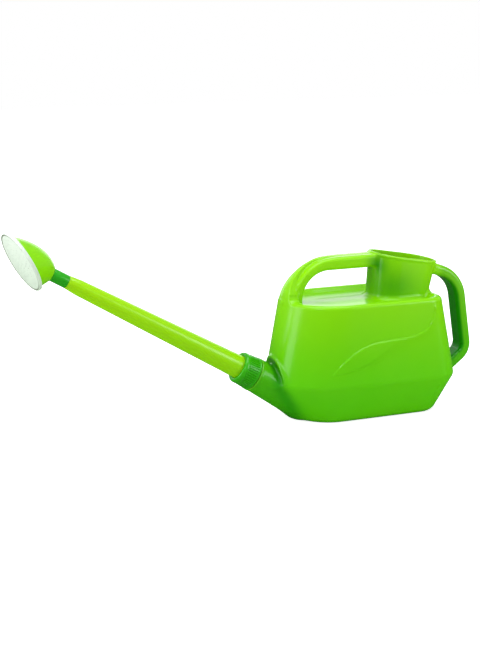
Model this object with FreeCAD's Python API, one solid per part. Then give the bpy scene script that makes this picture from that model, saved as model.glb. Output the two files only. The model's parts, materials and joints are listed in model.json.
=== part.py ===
import FreeCAD, Part

import math
import os

from FreeCAD import Placement, Rotation, Vector

# Long-spouted watering can. Millimetres, +Z up.
# The origin is the middle of the flat base. The spout points to -X and the rear handle to +X.
# Everything is symmetric about the plane Y = 0 except the rose, which is turned a little on its neck.

# ---------------------------------------------------------------- tank, a hollow moulding
WALL = 2.0

BASE_NOSE_X = -116.0
BASE_TAIL_X = 115.0
BASE_HALF_WIDTH = 60.0
BASE_NOSE_LENGTH = 62.0
BASE_CORNER_R = 30.0
BASE_EDGE_R = 7.0

WAIST_Z = 61.0
WAIST_NOSE_X = -158.0
WAIST_TAIL_X = 146.0
WAIST_HALF_WIDTH = 79.0
WAIST_NOSE_LENGTH = 104.0
WAIST_CORNER_R = 36.0
WAIST_EDGE_R = 9.0

DECK_Z = 189.0
DECK_NOSE_X = -134.0
DECK_TAIL_X = 117.0
DECK_HALF_WIDTH = 75.0
DECK_NOSE_LENGTH = 88.0
DECK_CORNER_R = 30.0
DECK_EDGE_R = 6.0

DISH_DEPTH = 7.0
DISH_RIM = 11.0
DISH_SLOPE = 12.0

# ---------------------------------------------------------------- filler neck
NECK_FRONT_X = 20.0
NECK_REAR_X = 118.0
NECK_HALF_WIDTH = 38.0
NECK_CORNER_R = 26.0
NECK_FLARE = 16.5
NECK_FRONT_LEAN = 4.0
NECK_RIM_Z = 256.0
NECK_RIM_TILT = 10.0

# ---------------------------------------------------------------- top handle
GRIP_TOP_Z = 253.5
GRIP_BOTTOM_Z = 233.5
GRIP_WIDTH = 33.0
GRIP_OUTER_R = 60.0
GRIP_INNER_R = 38.0
GRIP_POST_X = -99.0
GRIP_EDGE_R = 6.5
GRIP_WALL = 2.4
ROOT_WIDTH = 64.0
ROOT_LENGTH = 46.0
ROOT_TOP_Z = 226.0
ROOT_CORNER_R = 15.0
ROOT_SINK = 24.0

# ---------------------------------------------------------------- rear handle, its middle line in X and Z
REAR_WIDTH = 33.0
REAR_THICKNESS = 18.0
REAR_EDGE_R = 7.0
REAR_START = (104.0, 231.0)
REAR_SHOULDER = (172.0, 206.0)
REAR_HEEL = (191.5, 83.0)
REAR_FOOT = (114.0, 25.0)
REAR_SHOULDER_R = 55.0
REAR_HEEL_R = 25.0
REAR_WALL = 2.2

# ---------------------------------------------------------------- outlet and its thread
SPOUT_PITCH = 30.0
OUTLET_X = -183.0
OUTLET_Z = 77.5
BOSS_R = 26.0
BOSS_ROOT_R = 34.0
BOSS_LENGTH = 95.0
SPIGOT_R = 21.6
SPIGOT_LENGTH = 18.5
OUTLET_BORE_R = 16.5

# ---------------------------------------------------------------- outlet washer
WASHER_THICKNESS = 2.5

# ---------------------------------------------------------------- spout tube
FLANGE_R = 21.0
FLANGE_THICKNESS = 3.0
TUBE_ROOT_R = 18.0
TUBE_TIP_R = 11.8
TUBE_WALL = 1.8
TUBE_LENGTH = 315.5
NOSE_LENGTH = 20.0
NOSE_R = 10.0

# ---------------------------------------------------------------- collar nut
COLLAR_REAR_R = 26.8
COLLAR_FRONT_R = 24.4
COLLAR_GAP = 1.0
COLLAR_FRONT_WALL = 5.0
COLLAR_BORE_CLEARANCE = 0.4
COLLAR_RIBS = 40
RIB_DEPTH = 0.7
RIB_INSET = 4.0

# ---------------------------------------------------------------- rose connector and its O-ring
CONNECTOR_R = 9.9
CONNECTOR_BORE_R = 4.6
SHOULDER_CLEARANCE = 0.05
CONNECTOR_VISIBLE = 26.0
PLUG_LENGTH = 22.0
SPIGOT_TIP_R = 7.4
SPIGOT_TIP_LENGTH = 11.0
RING_SECTION_R = 1.1
RING_FROM_SHOULDER = 5.5
RING_SLACK = 0.02

# ---------------------------------------------------------------- rose shell
ROSE_TILT = 56.5
ROSE_TWIST = 9.0
ROSE_DROP = 19.5
ROSE_RIM_R = 44.2
ROSE_BEAD_R = 45.6
ROSE_BEAD_THICKNESS = 2.0
ROSE_WALL = 1.8
ROSE_NECK_R = 11.4
NECK_PLATE_INSET = 0.2
ROSE_BULGE = 27.0
ROSE_STATIONS = 6
SOCKET_WALL = 1.6
SOCKET_LENGTH = 12.0

# ---------------------------------------------------------------- perforated cap of the rose
CAP_R = 47.6
CAP_DEPTH = 6.0
CAP_WALL = 1.6
CAP_CROWN = 3.0
HOLE_R = 0.8
HOLE_RINGS = 5
HOLE_PITCH = 7.5
HOLES_IN_FIRST_RING = 6

# ---------------------------------------------------------------- clearances
SLIDE_CLEARANCE = 0.3
RUN_CLEARANCE = 0.08
OVERRUN = 1.0
LEAST_CORNER_R = 1.0
SAME = 0.01

UP = Vector(0, 0, 1)
ACROSS = Vector(0, 1, 0)


# ================================================================ outlines and solids

def round_corner(start, corner, end):
    """A quarter of an ellipse from start to end, tangent to the two sides that meet at corner."""
    curve = Part.BezierCurve()
    curve.setPoles([start, corner, end])
    curve.setWeight(2, math.sqrt(0.5))
    return curve.toShape()


def plan(z, front_x, rear_x, half_width, front_length, front_half, rear_r, inset=0.0):
    """An outline at height z: a front end rounded over front_length and front_half, round rear corners."""
    front = front_x + inset
    rear = rear_x - inset
    half = half_width - inset
    shoulder = front_x + front_length
    flat = max(half_width - front_half, 0.0)
    rear_corner = max(rear_r - inset, LEAST_CORNER_R)
    edges = []
    if flat > 0.0:
        edges.append(Part.makeLine(Vector(front, flat, z), Vector(front, -flat, z)))
    edges.append(round_corner(Vector(front, -flat, z), Vector(front, -half, z), Vector(shoulder, -half, z)))
    edges.append(Part.makeLine(Vector(shoulder, -half, z), Vector(rear - rear_corner, -half, z)))
    edges.append(round_corner(Vector(rear - rear_corner, -half, z), Vector(rear, -half, z),
                              Vector(rear, rear_corner - half, z)))
    edges.append(Part.makeLine(Vector(rear, rear_corner - half, z), Vector(rear, half - rear_corner, z)))
    edges.append(round_corner(Vector(rear, half - rear_corner, z), Vector(rear, half, z),
                              Vector(rear - rear_corner, half, z)))
    edges.append(Part.makeLine(Vector(rear - rear_corner, half, z), Vector(shoulder, half, z)))
    edges.append(round_corner(Vector(shoulder, half, z), Vector(front, half, z), Vector(front, flat, z)))
    return Part.Wire(edges)


def ruled(*wires):
    """A closed solid with straight walls between outlines."""
    return Part.makeLoft(list(wires), True, True)


def path_with_bends(points, radii):
    """A wire through points in the X-Z plane, with an arc of the given radius at each inner point."""
    edges = []
    last = points[0]
    for before, corner, after, radius in zip(points, points[1:], points[2:], radii):
        towards = (before - corner).normalize()
        away = (after - corner).normalize()
        half_angle = towards.getAngle(away) / 2.0
        reach = radius / math.tan(half_angle)
        first = corner + towards * reach
        final = corner + away * reach
        middle = (towards + away).normalize()
        crest = corner + middle * (radius / math.sin(half_angle) - radius)
        edges.append(Part.makeLine(last, first))
        edges.append(Part.Arc(first, crest, final).toShape())
        last = final
    edges.append(Part.makeLine(last, points[-1]))
    return edges


def turned(points):
    """A solid of revolution about Z from a closed outline of (radius, height) points."""
    outline = [Vector(radius, 0, height) for radius, height in points]
    face = Part.Face(Part.makePolygon(outline + [outline[0]]))
    return face.revolve(Vector(0, 0, 0), UP, 360)


def along_spout():
    """The move that lays Z along the spout's middle line, with the origin at the outlet's shoulder."""
    return Placement(Vector(OUTLET_X, 0, OUTLET_Z), Rotation(ACROSS, SPOUT_PITCH - 90.0))


def on_spout(shape):
    """The shape, made along Z from the outlet's shoulder, laid along the spout's middle line."""
    shape.Placement = along_spout()
    return shape


def edges_at(shape, z):
    """The edges of a shape that lie at one height."""
    found = []
    for edge in shape.Edges:
        box = edge.BoundBox
        if abs(box.ZMin - z) < SAME and abs(box.ZMax - z) < SAME:
            found.append(edge)
    return found


# ================================================================ tank

def base_plan(inset=0.0, z=0.0):
    """The tank's outline where it stands."""
    return plan(z, BASE_NOSE_X, BASE_TAIL_X, BASE_HALF_WIDTH, BASE_NOSE_LENGTH, BASE_HALF_WIDTH,
                BASE_CORNER_R, inset)


def waist_plan(inset=0.0, z=WAIST_Z):
    """The tank's widest outline."""
    return plan(z, WAIST_NOSE_X, WAIST_TAIL_X, WAIST_HALF_WIDTH, WAIST_NOSE_LENGTH, WAIST_HALF_WIDTH,
                WAIST_CORNER_R, inset)


def deck_plan(inset=0.0, z=DECK_Z):
    """The tank's outline round its top."""
    return plan(z, DECK_NOSE_X, DECK_TAIL_X, DECK_HALF_WIDTH, DECK_NOSE_LENGTH, DECK_HALF_WIDTH,
                DECK_CORNER_R, inset)


def neck_plan(z, inset=0.0):
    """The filler neck's outline, whose front and rear both lean back as it rises."""
    rise = (z - DECK_Z) / (NECK_RIM_Z - DECK_Z)
    front = NECK_FRONT_X + NECK_FRONT_LEAN * (rise - 1.0)
    return plan(z, front, NECK_REAR_X + NECK_FLARE * rise, NECK_HALF_WIDTH, NECK_CORNER_R, NECK_CORNER_R,
                NECK_CORNER_R, inset)


def body_shell():
    """The tank's body with softened edges and a shallow dish in its top."""
    body = ruled(base_plan(), waist_plan(), deck_plan())
    body = body.makeFillet(DECK_EDGE_R, edges_at(body, DECK_Z))
    body = body.makeFillet(WAIST_EDGE_R, edges_at(body, WAIST_Z))
    body = body.makeFillet(BASE_EDGE_R, edges_at(body, 0.0))
    dish = ruled(deck_plan(DISH_RIM + DISH_SLOPE, DECK_Z - DISH_DEPTH), deck_plan(DISH_RIM, DECK_Z),
                 deck_plan(DISH_RIM, DECK_Z + OVERRUN))
    return body.cut(dish)


def body_cavity():
    """The room for water inside the body, under the dish and up into the ridge round it."""
    room = ruled(base_plan(WALL, WALL), waist_plan(WALL), deck_plan(WALL, DECK_Z - WALL))
    floor = ruled(deck_plan(DISH_RIM + DISH_SLOPE - WALL, DECK_Z - DISH_DEPTH - WALL),
                  deck_plan(DISH_RIM - WALL, DECK_Z), deck_plan(DISH_RIM - WALL, DECK_Z + OVERRUN))
    return room.cut(floor)


def above_rim():
    """Everything above the sloping plane of the filler mouth."""
    reach = 4.0 * NECK_HALF_WIDTH
    block = Part.makeBox(2.0 * reach, 2.0 * reach, reach, Vector(-reach, -reach, 0))
    block.Placement = Placement(Vector(NECK_FRONT_X, 0, NECK_RIM_Z), Rotation(ACROSS, NECK_RIM_TILT))
    return block


def neck_body():
    """The filler neck's outside, from inside the body up to its sloping mouth."""
    foot = DECK_Z - DISH_DEPTH - WALL
    return ruled(neck_plan(foot), neck_plan(NECK_RIM_Z + NECK_FLARE)).cut(above_rim())


def neck_bore():
    """The way in through the filler neck."""
    foot = DECK_Z - DISH_DEPTH - 2.0 * WALL
    return ruled(neck_plan(foot, WALL), neck_plan(NECK_RIM_Z + NECK_FLARE, WALL))


def front_lean(z):
    """How far back the front wall stands at a height, as an X."""
    slope = (DECK_NOSE_X - WAIST_NOSE_X) / (DECK_Z - WAIST_Z)
    return DECK_NOSE_X + slope * (z - DECK_Z)


def grip_solid(inset):
    """The top handle: up from the front wall, round a bend and back to the neck."""
    low = DECK_Z - ROOT_SINK + inset
    top = GRIP_TOP_Z - inset
    bottom = GRIP_BOTTOM_Z + inset
    end_x = NECK_FRONT_X + WALL
    outer = [Vector(front_lean(low) + inset, 0, low), Vector(front_lean(top) + inset, 0, top),
             Vector(end_x, 0, top)]
    inner = [Vector(end_x, 0, bottom), Vector(GRIP_POST_X - inset, 0, bottom),
             Vector(GRIP_POST_X - inset, 0, low)]
    edges = path_with_bends(outer, [GRIP_OUTER_R - inset])
    edges.append(Part.makeLine(outer[-1], inner[0]))
    edges += path_with_bends(inner, [GRIP_INNER_R + inset])
    edges.append(Part.makeLine(inner[-1], outer[0]))
    face = Part.Face(Part.Wire(edges))
    width = GRIP_WIDTH - 2.0 * inset
    face.translate(Vector(0, -width / 2.0, 0))
    grip = face.extrude(Vector(0, width, 0))
    long_edges = [edge for edge in grip.Edges if edge.BoundBox.YLength < SAME and edge.BoundBox.ZMax > low + SAME]
    return grip.makeFillet(max(GRIP_EDGE_R - inset, LEAST_CORNER_R), long_edges)


def root_solid(inset):
    """The broad foot of the top handle, narrowing from the front wall into the grip."""
    low = DECK_Z - ROOT_SINK + inset
    top = ROOT_TOP_Z
    foot = plan(low, front_lean(low), front_lean(low) + ROOT_LENGTH, ROOT_WIDTH / 2.0, ROOT_CORNER_R,
                ROOT_CORNER_R, ROOT_CORNER_R, inset)
    head = plan(top, front_lean(top), GRIP_POST_X, GRIP_WIDTH / 2.0, GRIP_EDGE_R, GRIP_EDGE_R, GRIP_EDGE_R,
                inset)
    return ruled(foot, head)


def rear_handle(inset):
    """The rear handle, swept from the neck's rim round to the rear wall."""
    points = [Vector(x, 0, z) for x, z in (REAR_START, REAR_SHOULDER, REAR_HEEL, REAR_FOOT)]
    spine = Part.Wire(path_with_bends(points, [REAR_SHOULDER_R, REAR_HEEL_R]))
    along = (points[1] - points[0]).normalize()
    half_width = REAR_WIDTH / 2.0 - inset
    half_thick = REAR_THICKNESS / 2.0 - inset
    radius = max(REAR_EDGE_R - inset, LEAST_CORNER_R)
    section = plan(0.0, -half_thick, half_thick, half_width, radius, radius, radius)
    section.Placement = Placement(points[0], Rotation(ACROSS, math.degrees(math.atan2(along.x, along.z))))
    return spine.makePipeShell([section], True, True)


def boss_body():
    """The cone that carries the outlet, and the plain cylinder that its thread is cut on."""
    cone = Part.makeCone(BOSS_ROOT_R, BOSS_R, BOSS_LENGTH, Vector(0, 0, -BOSS_LENGTH))
    spigot = Part.makeCylinder(SPIGOT_R, SPIGOT_LENGTH)
    return on_spout(cone.fuse(spigot))


def boss_bore():
    """The waterway through the boss: a cone inside the root, then the outlet's bore."""
    cone = Part.makeCone(BOSS_ROOT_R - WALL, BOSS_R - WALL, BOSS_LENGTH - WALL,
                         Vector(0, 0, -BOSS_LENGTH))
    bore = Part.makeCylinder(OUTLET_BORE_R, BOSS_LENGTH + SPIGOT_LENGTH + OVERRUN, Vector(0, 0, -BOSS_LENGTH))
    return on_spout(cone.fuse(bore))


def below_base():
    """Everything under the plane that the can stands on."""
    length = WAIST_TAIL_X - WAIST_NOSE_X
    width = 2.0 * WAIST_HALF_WIDTH
    return Part.makeBox(length, width, width, Vector(WAIST_NOSE_X, -WAIST_HALF_WIDTH, -width))


def hollow():
    """All the room inside the can: the body, the neck, both grips and the way out to the spout."""
    room = body_cavity()
    for solid in (neck_bore(), root_solid(GRIP_WALL), grip_solid(GRIP_WALL), rear_handle(REAR_WALL),
                  boss_bore()):
        room = room.fuse(solid)
    return room


def largest(shape):
    """The shape's largest solid, without the slivers that a cut leaves where surfaces graze."""
    return max(shape.Solids, key=lambda solid: solid.Volume)


def outside_body(shape):
    """The part of a feature that stands proud of the body, hollowed out."""
    return largest(shape.cut(body_shell()).cut(hollow()).cut(below_base()).removeSplitter())


def make_body():
    """The body with its deck, open to the neck, to the grips and to the outlet."""
    return largest(body_shell().cut(hollow()).removeSplitter())


def make_neck():
    """The filler neck from the deck up to its sloping mouth."""
    return outside_body(neck_body())


def make_top_handle():
    """The top handle from its broad foot to the neck."""
    return outside_body(root_solid(0.0).fuse(grip_solid(0.0)).cut(neck_body()))


def make_rear_handle():
    """The rear handle from the neck's back to the foot of the rear wall."""
    return outside_body(rear_handle(0.0).cut(neck_body()))


def make_boss():
    """The cone that stands out of the body's nose, with the outlet at its end."""
    return outside_body(boss_body())


# ================================================================ spout

def make_washer():
    """The flat rubber ring between the outlet and the tube's flange."""
    start = SPIGOT_LENGTH
    return on_spout(turned([(OUTLET_BORE_R, start), (FLANGE_R, start), (FLANGE_R, start + WASHER_THICKNESS),
                            (OUTLET_BORE_R, start + WASHER_THICKNESS)]))


def make_tube():
    """The long tapering tube, with a flange at its foot and a short cone at its tip."""
    start = SPIGOT_LENGTH + WASHER_THICKNESS
    flange = start + FLANGE_THICKNESS
    end = start + TUBE_LENGTH
    nose = end - NOSE_LENGTH
    return on_spout(turned([(TUBE_ROOT_R - TUBE_WALL, start), (FLANGE_R, start), (FLANGE_R, flange),
                            (TUBE_ROOT_R, flange), (TUBE_TIP_R, nose), (NOSE_R, end),
                            (NOSE_R - TUBE_WALL, end), (NOSE_R - TUBE_WALL, end - PLUG_LENGTH),
                            (TUBE_TIP_R - TUBE_WALL, nose - PLUG_LENGTH)]))


def make_collar():
    """The union nut that clamps the tube's flange, with fine ribs between two plain bands."""
    rear = COLLAR_GAP
    seat = SPIGOT_LENGTH + WASHER_THICKNESS + FLANGE_THICKNESS
    front = seat + COLLAR_FRONT_WALL
    bore = SPIGOT_R + COLLAR_BORE_CLEARANCE
    eye = TUBE_ROOT_R + SLIDE_CLEARANCE
    nut = turned([(bore, rear), (COLLAR_REAR_R, rear), (COLLAR_FRONT_R, front), (eye, front), (eye, seat),
                  (bore, seat)])
    taper = math.degrees(math.atan2(COLLAR_REAR_R - COLLAR_FRONT_R, front - rear))
    length = front - rear - 2.0 * RIB_INSET
    groove_r = math.pi * COLLAR_FRONT_R / COLLAR_RIBS / 2.0
    middle = (COLLAR_REAR_R + COLLAR_FRONT_R) / 2.0
    for index in range(COLLAR_RIBS):
        groove = Part.makeCylinder(groove_r, length, Vector(0, 0, -length / 2.0))
        groove.rotate(Vector(0, 0, 0), ACROSS, -taper)
        groove.translate(Vector(middle + groove_r - RIB_DEPTH, 0, (rear + front) / 2.0))
        groove.rotate(Vector(0, 0, 0), UP, 360.0 * index / COLLAR_RIBS)
        nut = nut.cut(groove)
    return on_spout(nut)


def connector_start():
    """How far along the spout the tube ends and the connector shows."""
    return SPIGOT_LENGTH + WASHER_THICKNESS + TUBE_LENGTH


def make_connector():
    """The short coupling: a plug that slides into the tube and a tip that the rose turns on."""
    start = connector_start()
    shoulder = start + CONNECTOR_VISIBLE
    plug = NOSE_R - TUBE_WALL - RUN_CLEARANCE
    groove = shoulder + RING_FROM_SHOULDER
    depth = SPIGOT_TIP_R + RUN_CLEARANCE - 2.0 * RING_SECTION_R
    return on_spout(turned([(CONNECTOR_BORE_R, start - PLUG_LENGTH + SLIDE_CLEARANCE),
                            (plug, start - PLUG_LENGTH + SLIDE_CLEARANCE), (plug, start + SHOULDER_CLEARANCE),
                            (CONNECTOR_R, start + SHOULDER_CLEARANCE), (CONNECTOR_R, shoulder), (SPIGOT_TIP_R, shoulder),
                            (SPIGOT_TIP_R, groove - RING_SECTION_R), (depth, groove - RING_SECTION_R),
                            (depth, groove + RING_SECTION_R), (SPIGOT_TIP_R, groove + RING_SECTION_R),
                            (SPIGOT_TIP_R, shoulder + SPIGOT_TIP_LENGTH),
                            (CONNECTOR_BORE_R, shoulder + SPIGOT_TIP_LENGTH)]))


def make_ring():
    """The rubber ring in the connector's groove."""
    place = connector_start() + CONNECTOR_VISIBLE + RING_FROM_SHOULDER
    middle = SPIGOT_TIP_R + RUN_CLEARANCE - RING_SECTION_R
    return on_spout(Part.makeTorus(middle, RING_SECTION_R - RING_SLACK, Vector(0, 0, place)))


# ================================================================ rose

def rose_neck():
    """How far along the spout the rose's neck ends, just clear of the connector's shoulder."""
    return connector_start() + CONNECTOR_VISIBLE + SLIDE_CLEARANCE


def rose_frame():
    """Directions in the spout's own X-Z plane: up the rose's face, and out of it."""
    tilt = math.radians(ROSE_TILT)
    up_face = Vector(math.cos(tilt), 0, math.sin(tilt))
    out = Vector(-math.sin(tilt), 0, math.cos(tilt))
    return up_face, out


def rim_centre():
    """The middle of the rose's rim, in the spout's frame."""
    up_face, out = rose_frame()
    neck_low = Vector(-ROSE_NECK_R, 0, rose_neck())
    return neck_low + out * ROSE_DROP + up_face * ROSE_RIM_R


def rose_section(share, inset):
    """A circle across the rose, turning from the rim at 0 to the neck at 1."""
    up_face, out = rose_frame()
    centre = rim_centre()
    rim_top = centre + up_face * ROSE_RIM_R
    rim_low = centre - up_face * ROSE_RIM_R
    neck_top = Vector(ROSE_NECK_R, 0, rose_neck())
    neck_low = Vector(-ROSE_NECK_R, 0, rose_neck())
    control = (rim_top + neck_top) * 0.5 - out * ROSE_BULGE
    rest = 1.0 - share
    top = rim_top * rest * rest + control * 2.0 * rest * share + neck_top * share * share
    low = rim_low * rest + neck_low * share
    across = top - low
    normal = across.cross(ACROSS).normalize()
    circle = Part.makeCircle(across.Length / 2.0 - inset, (top + low) * 0.5, normal)
    return Part.Wire(circle)


def rose_body(inset):
    """The rose's lopsided dome as a closed solid."""
    stations = [index / (ROSE_STATIONS - 1.0) for index in range(ROSE_STATIONS)]
    return Part.makeLoft([rose_section(share, inset) for share in stations], True, False)


def turned_with_rose(shape):
    """The shape laid on the spout and turned with the rose about the spout's middle line."""
    shape.rotate(Vector(0, 0, 0), UP, ROSE_TWIST)
    shape.Placement = along_spout().multiply(shape.Placement)
    return shape


def on_rim(shape):
    """Lay a shape made about Z, with its face up, on the rose's rim."""
    shape.Placement = Placement(rim_centre(), Rotation(ACROSS, -ROSE_TILT))
    return shape


def make_rose():
    """The hollow dome, with a bead that the cap snaps over and a socket for the connector."""
    socket_bore = SPIGOT_TIP_R + RUN_CLEARANCE
    plate_r = ROSE_NECK_R - NECK_PLATE_INSET
    neck = rose_neck()
    shell = rose_body(0.0).cut(rose_body(ROSE_WALL))
    bead = on_rim(turned([(ROSE_RIM_R - ROSE_WALL, -ROSE_BEAD_THICKNESS), (ROSE_BEAD_R, -ROSE_BEAD_THICKNESS),
                          (ROSE_BEAD_R, 0.0), (ROSE_RIM_R - ROSE_WALL, 0.0)]))
    plate = turned([(socket_bore, neck), (plate_r, neck), (plate_r, neck + ROSE_WALL),
                    (socket_bore + SOCKET_WALL, neck + ROSE_WALL),
                    (socket_bore + SOCKET_WALL, neck + SOCKET_LENGTH), (socket_bore, neck + SOCKET_LENGTH)])
    return turned_with_rose(shell.fuse(bead).fuse(plate))


def crown_arc(radius, edge, middle):
    """An arc in the X-Z plane from a height at the cap's edge up to a height on its axis."""
    rise = middle - edge
    sphere = (radius * radius + rise * rise) / (2.0 * rise)
    half_way = radius / 2.0
    height = middle - sphere + math.sqrt(sphere * sphere - half_way * half_way)
    return Part.Arc(Vector(radius, 0, edge), Vector(half_way, 0, height), Vector(0, 0, middle)).toShape()


def make_cap():
    """The white cap: a crowned plate with rings of fine holes and a skirt over the rose's bead."""
    inner = CAP_R - CAP_WALL
    under = SLIDE_CLEARANCE
    over = under + CAP_WALL
    skirt = over - CAP_DEPTH
    crown_under = under + CAP_CROWN
    crown_over = over + CAP_CROWN
    edges = [crown_arc(CAP_R, over, crown_over),
             Part.makeLine(Vector(0, 0, crown_over), Vector(0, 0, crown_under)),
             crown_arc(inner, under, crown_under),
             Part.makeLine(Vector(inner, 0, under), Vector(inner, 0, skirt)),
             Part.makeLine(Vector(inner, 0, skirt), Vector(CAP_R, 0, skirt)),
             Part.makeLine(Vector(CAP_R, 0, skirt), Vector(CAP_R, 0, over))]
    cap = Part.Face(Part.Wire(Part.__sortEdges__(edges))).revolve(Vector(0, 0, 0), UP, 360)
    depth = CAP_DEPTH + CAP_CROWN
    drills = [Part.makeCylinder(HOLE_R, depth)]
    for ring in range(1, HOLE_RINGS + 1):
        count = HOLES_IN_FIRST_RING * ring
        for index in range(count):
            drill = Part.makeCylinder(HOLE_R, depth, Vector(ring * HOLE_PITCH, 0, 0))
            drill.rotate(Vector(0, 0, 0), UP, 360.0 * index / count)
            drills.append(drill)
    return turned_with_rose(on_rim(cap.cut(Part.makeCompound(drills))))


# ================================================================ build

PARTS = {
    "tank_body": make_body,
    "filler_neck": make_neck,
    "top_handle": make_top_handle,
    "rear_handle": make_rear_handle,
    "outlet_boss": make_boss,
    "outlet_washer": make_washer,
    "spout_tube": make_tube,
    "collar_nut": make_collar,
    "rose_connector": make_connector,
    "connector_o_ring": make_ring,
    "rose_shell": make_rose,
    "rose_cap": make_cap,
}


def main():
    """Write one STEP file for each piece."""
    os.makedirs("parts", exist_ok=True)
    for name, make in PARTS.items():
        shape = make()
        box = shape.BoundBox
        print("%-18s valid %s solids %d volume %.0f mm3 box %.1f %.1f %.1f / %.1f %.1f %.1f" % (
            name, shape.isValid(), len(shape.Solids), shape.Volume,
            box.XMin, box.YMin, box.ZMin, box.XMax, box.YMax, box.ZMax))
        shape.exportStep("parts/%s.step" % name)


main()
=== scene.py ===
"""A long-spouted plastic watering can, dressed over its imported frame."""

import json
import logging
import math
from dataclasses import dataclass, field
from enum import Enum
from typing import Callable

import bmesh
import bpy
import numpy as np
import openvdb
from mathutils import Matrix, Vector
from mathutils.geometry import delaunay_2d_cdt


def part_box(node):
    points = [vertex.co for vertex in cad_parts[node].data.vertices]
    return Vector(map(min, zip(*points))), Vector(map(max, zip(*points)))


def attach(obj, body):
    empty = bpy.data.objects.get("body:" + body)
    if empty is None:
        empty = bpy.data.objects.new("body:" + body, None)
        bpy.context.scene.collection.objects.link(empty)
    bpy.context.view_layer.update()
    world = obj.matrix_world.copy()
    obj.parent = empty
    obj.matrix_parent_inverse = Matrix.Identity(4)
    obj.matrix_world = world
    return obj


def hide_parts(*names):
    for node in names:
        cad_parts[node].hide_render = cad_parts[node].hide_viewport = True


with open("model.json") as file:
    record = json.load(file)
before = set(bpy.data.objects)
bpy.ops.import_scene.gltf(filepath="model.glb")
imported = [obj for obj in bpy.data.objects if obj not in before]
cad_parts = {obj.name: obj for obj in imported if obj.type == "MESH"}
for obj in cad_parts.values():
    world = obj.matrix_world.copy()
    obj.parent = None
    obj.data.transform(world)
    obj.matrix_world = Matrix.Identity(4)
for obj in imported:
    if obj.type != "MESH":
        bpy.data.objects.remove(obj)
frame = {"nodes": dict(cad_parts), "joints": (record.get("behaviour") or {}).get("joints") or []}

LOG = logging.getLogger("watering_can")
MM = 0.001
# Name of a point attribute that says where shade is painted into a finish's colour, from 0 to 1.
SHADE_MASK = "painted_shade_mask"
SIDEWAYS = np.array([0.0, 1.0, 0.0])

Array = np.ndarray
Colour = tuple[float, float, float]


# ---------------------------------------------------------------- small helpers


def linear(red: int, green: int, blue: int) -> Colour:
    """Turn an 8-bit display colour into linear light.

    Args:
        red: Red from 0 to 255.
        green: Green from 0 to 255.
        blue: Blue from 0 to 255.

    Returns:
        The colour as three linear floats.
    """

    def one(value: int) -> float:
        """Linear light of one channel."""
        share = value / 255.0
        return share / 12.92 if share <= 0.04045 else ((share + 0.055) / 1.055) ** 2.4

    return one(red), one(green), one(blue)


def ease(share: Array | float) -> Array | float:
    """A smooth step from 0 to 1, level at both ends."""
    clipped = np.clip(share, 0.0, 1.0)
    return clipped * clipped * (3.0 - 2.0 * clipped)


def melt(first: Array, second: Array, reach: float) -> Array:
    """Join two solids with a fillet.

    Args:
        first: Signed distance to one solid.
        second: Signed distance to the other.
        reach: How far from the crease the fillet starts, in mm.

    Returns:
        Signed distance to both together.
    """
    near = np.maximum(reach - np.abs(first - second), 0.0) / reach
    return np.minimum(first, second) - near * near * reach * 0.25


def rounded_meet(first: Array, second: Array, radius: float) -> Array:
    """Keep what lies inside both solids, with the edge between them rounded.

    Args:
        first: Signed distance to one solid.
        second: Signed distance to the other.
        radius: Radius of the rounded edge, in mm.

    Returns:
        Signed distance to the overlap.
    """
    over_first = first + radius
    over_second = second + radius
    outside = np.sqrt(np.maximum(over_first, 0.0) ** 2 + np.maximum(over_second, 0.0) ** 2)
    return outside + np.minimum(np.maximum(over_first, over_second), 0.0) - radius


def slab(across: Array, half: float | Array) -> Array:
    """Signed distance to a slab about the middle plane."""
    return np.abs(across) - half


def soft_spot(across: Array, up: Array, centre: tuple[float, float], spread: tuple[float, float]) -> Array:
    """A smooth hump, 1 at its centre, over two measures.

    Args:
        across: The first measure.
        up: The second measure.
        centre: Where the hump stands.
        spread: How far it spreads along each measure.

    Returns:
        Its height at each place.
    """
    return np.exp(-(((across - centre[0]) / spread[0]) ** 2 + ((up - centre[1]) / spread[1]) ** 2))


def flowing_curve(stations: list[tuple[float, float]]) -> Callable[[Array], Array]:
    """Make a smooth rising curve through a few stations.

    Args:
        stations: Points as (along, height), in order along.

    Returns:
        A function that gives the height at any place along.
    """
    xs = np.array([s[0] for s in stations])
    zs = np.array([s[1] for s in stations])
    slopes = np.gradient(zs, xs)

    def height(along: Array) -> Array:
        """Height of the curve at places along it."""
        place = np.clip(along, xs[0], xs[-1])
        index = np.clip(np.searchsorted(xs, place) - 1, 0, len(xs) - 2)
        span = xs[index + 1] - xs[index]
        t = (place - xs[index]) / span
        start = (1 + 2 * t) * (1 - t) ** 2 * zs[index] + t * (1 - t) ** 2 * span * slopes[index]
        end = t * t * (3 - 2 * t) * zs[index + 1] + t * t * (t - 1) * span * slopes[index + 1]
        return start + end

    return height


def circle(angles: Array, radius: float | Array, height: float) -> Array:
    """A ring of points about +Z.

    Args:
        angles: Places round the ring.
        radius: Its radius, or one radius for each place.
        height: Where it lies along Z.

    Returns:
        The points, one row each.
    """
    return np.stack([radius * np.cos(angles), radius * np.sin(angles), np.full(len(angles), height)], 1)


def full_turn(count: int) -> Array:
    """Evenly spaced angles round a full turn."""
    return np.linspace(0.0, 2.0 * math.pi, count, endpoint=False)


def set_inputs(node: bpy.types.Node, values: dict[str, float | Colour]) -> None:
    """Set constants on a node's sockets, with full alpha for a colour socket.

    Args:
        node: The node.
        values: A constant for each socket's name.
    """
    for label, value in values.items():
        socket = node.inputs[label]
        socket.default_value = (*value, 1.0) if socket.type == "RGBA" else value


def wire(tree: bpy.types.NodeTree, *joins: tuple[bpy.types.Node, str | int, bpy.types.Node, str | int]) -> None:
    """Link sockets of a node tree.

    Args:
        tree: The node tree.
        joins: For each link, a node, its output, the next node and its input.
    """
    for start, output, end, entry in joins:
        tree.links.new(start.outputs[output], end.inputs[entry])


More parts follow.
